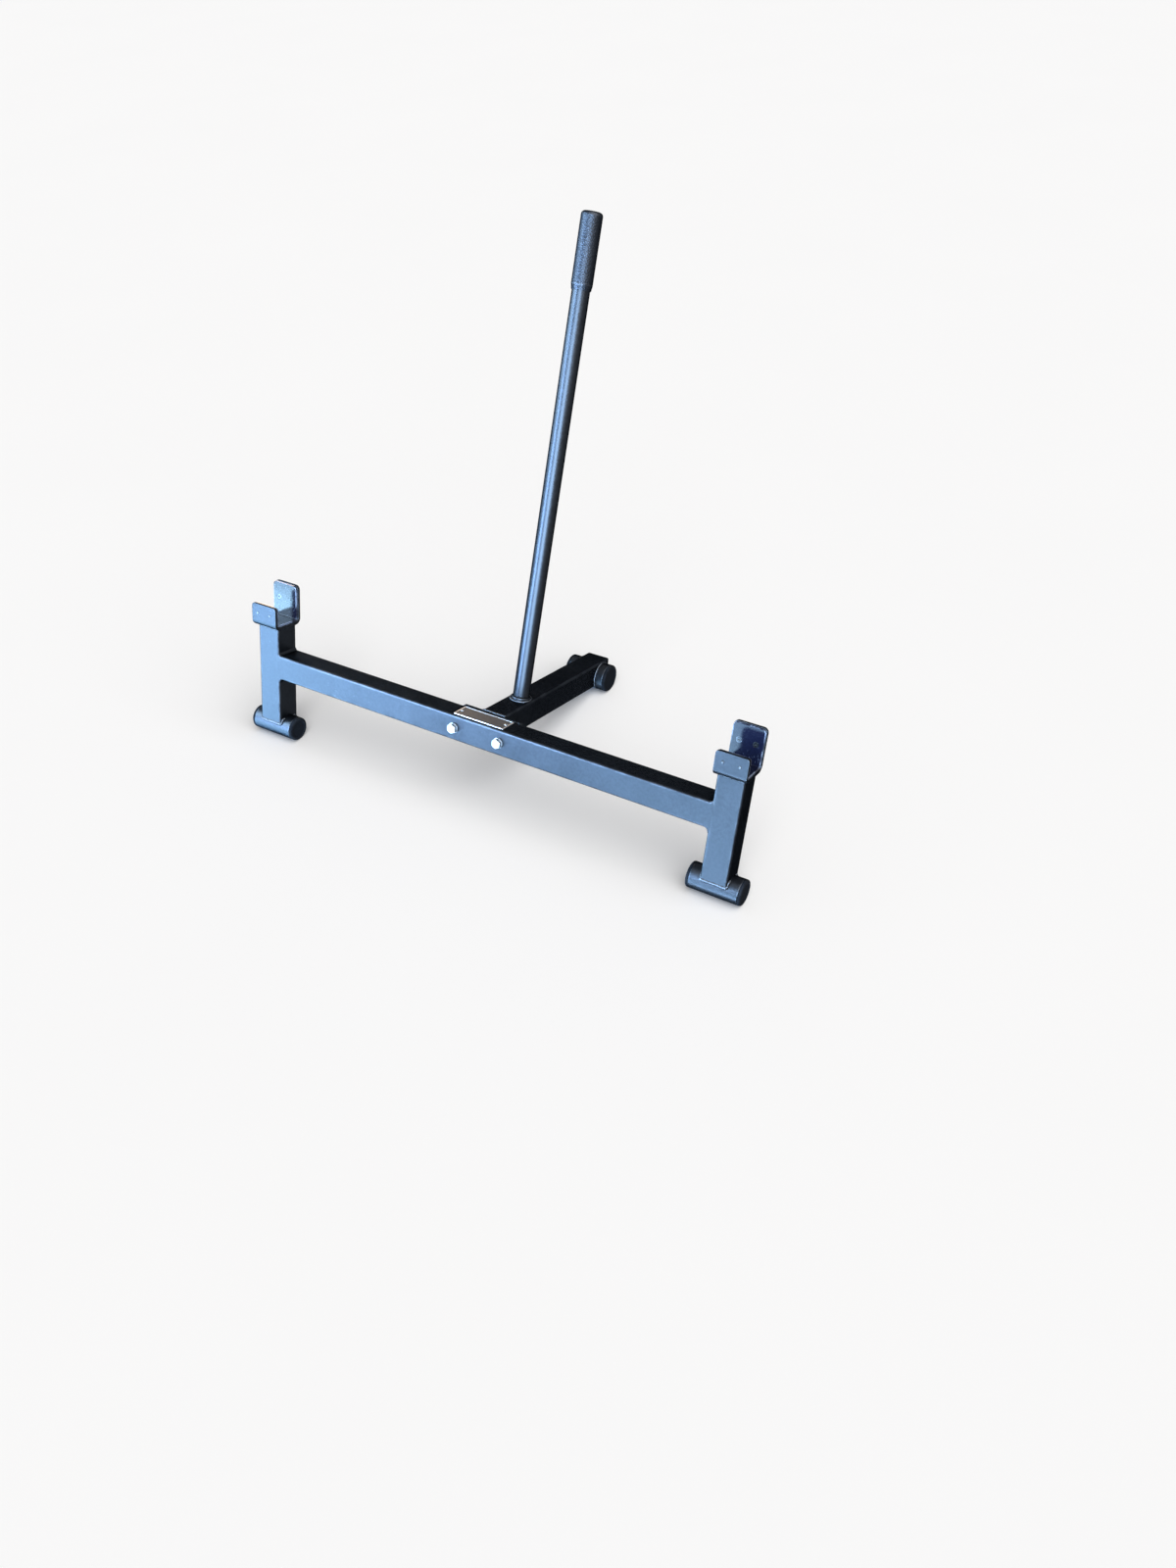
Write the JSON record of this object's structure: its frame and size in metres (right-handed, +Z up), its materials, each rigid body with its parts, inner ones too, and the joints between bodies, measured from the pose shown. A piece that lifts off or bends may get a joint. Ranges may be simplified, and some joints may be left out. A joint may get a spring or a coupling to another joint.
{
  "type": "deadlift jack",
  "caption": "Lever frame that lifts a loaded barbell off the floor: lined cups on uprights, a rear arm with a round foot, and a lift-off handle.",
  "frame": {"origin": "bottom centre of the jack's own box, on the ground, with the front feet and the rear foot both touching the ground", "axes": "+X to the right along the front beam, +Y from the front beam towards the rear foot, +Z up. The uprights lean back 16.8 degrees from +Z, as the jack stands in the picture."},
  "size_m": [1.094, 0.5514, 0.9231],
  "materials": {
    "powder_coat": "satin black powder coat",
    "cap_plastic": "matt black moulded plastic",
    "liner_plastic": "glossy black plastic sheet",
    "zinc_steel": "bright zinc plate",
    "blackened_steel": "blackened, rubbed bright at its edges",
    "plate_metal": "brushed, bare",
    "grip_rubber": "matt black moulded rubber"
  },
  "bodies": {
    "frame": {"front_beam": "powder_coat", "left_upright": "powder_coat", "left_foot_tube": "powder_coat", "left_foot_left_cap": "cap_plastic", "left_foot_right_cap": "cap_plastic", "left_cup_bracket": "powder_coat", "left_cup_liner": "liner_plastic", "left_lip_screw_left": "blackened_steel", "left_lip_screw_right": "blackened_steel", "left_back_screw_left": "blackened_steel", "left_back_screw_right": "blackened_steel", "right_upright": "powder_coat", "right_foot_tube": "powder_coat", "right_foot_left_cap": "cap_plastic", "right_foot_right_cap": "cap_plastic", "right_cup_bracket": "powder_coat", "right_cup_liner": "liner_plastic", "right_lip_screw_left": "blackened_steel", "right_lip_screw_right": "blackened_steel", "right_back_screw_left": "blackened_steel", "right_back_screw_right": "blackened_steel", "name_plate": "plate_metal", "name_plate_left_rivet": "zinc_steel", "name_plate_right_rivet": "zinc_steel", "left_bolt": "zinc_steel", "left_front_washer": "zinc_steel", "left_rear_washer": "zinc_steel", "left_nut": "zinc_steel", "right_bolt": "zinc_steel", "right_front_washer": "zinc_steel", "right_rear_washer": "zinc_steel", "right_nut": "zinc_steel", "flange_plate": "powder_coat", "rear_beam": "powder_coat", "rear_foot_tube": "powder_coat", "rear_foot_left_cap": "cap_plastic", "rear_foot_right_cap": "cap_plastic", "handle_spigot": "powder_coat"},
    "handle": {"handle_tube": "powder_coat", "handle_grip": "grip_rubber"}
  },
  "joints": [
    {"name": "handle_lift", "type": "slide", "parent": "frame", "child": "handle", "axis": [0, 0.4064, 0.9137], "range_m": [0, 0.1]}
  ]
}
